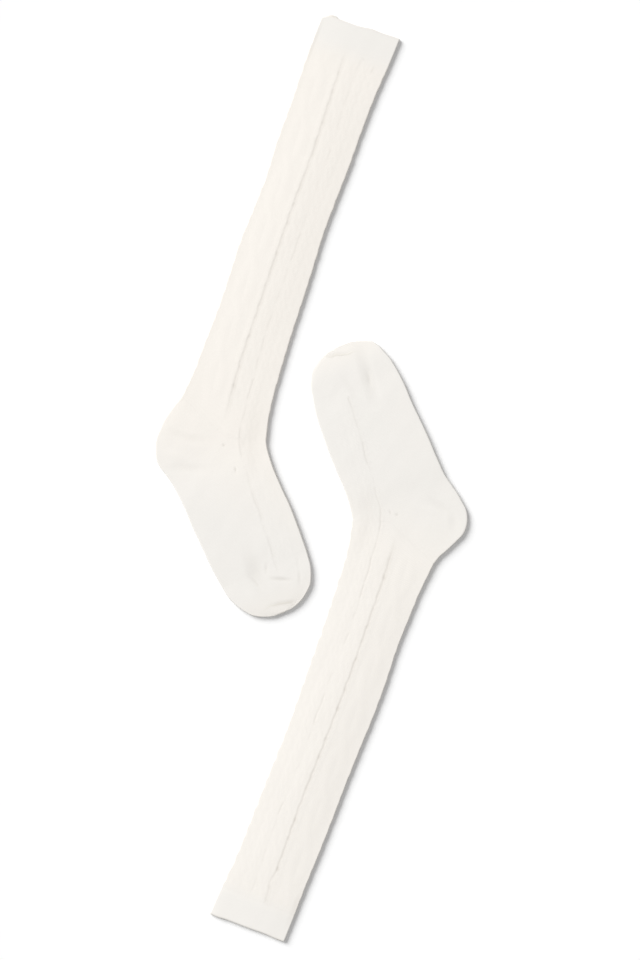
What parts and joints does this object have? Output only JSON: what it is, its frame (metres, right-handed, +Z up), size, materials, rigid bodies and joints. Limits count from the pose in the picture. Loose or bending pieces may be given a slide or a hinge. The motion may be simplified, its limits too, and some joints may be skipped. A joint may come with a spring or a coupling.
{
  "type": "pair of over-the-knee socks",
  "caption": "Pair of over-the-knee socks in cable knit, laid flat beside each other, with doubled welts, turned heels and seamed toes; worn to warm and cover the legs.",
  "frame": {"origin": "on the surface that the socks lie on, under the middle of the pair's box", "axes": "+Z up from the surface; +Y the long way of the layout, towards the welt of sock_a; +X towards the heel of sock_b"},
  "size_m": [0.3412, 1.0176, 0.0079],
  "materials": {
    "welt_knit": "plain doubled knit, matt",
    "cable_knit": "cable knit in soft yarn, matt with a light fuzz",
    "plain_knit": "plain stocking stitch, matt",
    "linking_yarn": "linked seam in the same yarn, matt"
  },
  "bodies": {
    "root": {"sock_a_welt": "welt_knit", "sock_a_leg": "cable_knit", "sock_a_heel": "plain_knit", "sock_a_foot": "cable_knit", "sock_a_toe": "plain_knit", "sock_a_toe_seam": "linking_yarn", "sock_b_welt": "welt_knit", "sock_b_leg": "cable_knit", "sock_b_heel": "plain_knit", "sock_b_foot": "cable_knit", "sock_b_toe": "plain_knit", "sock_b_toe_seam": "linking_yarn"}
  },
  "joints": []
}
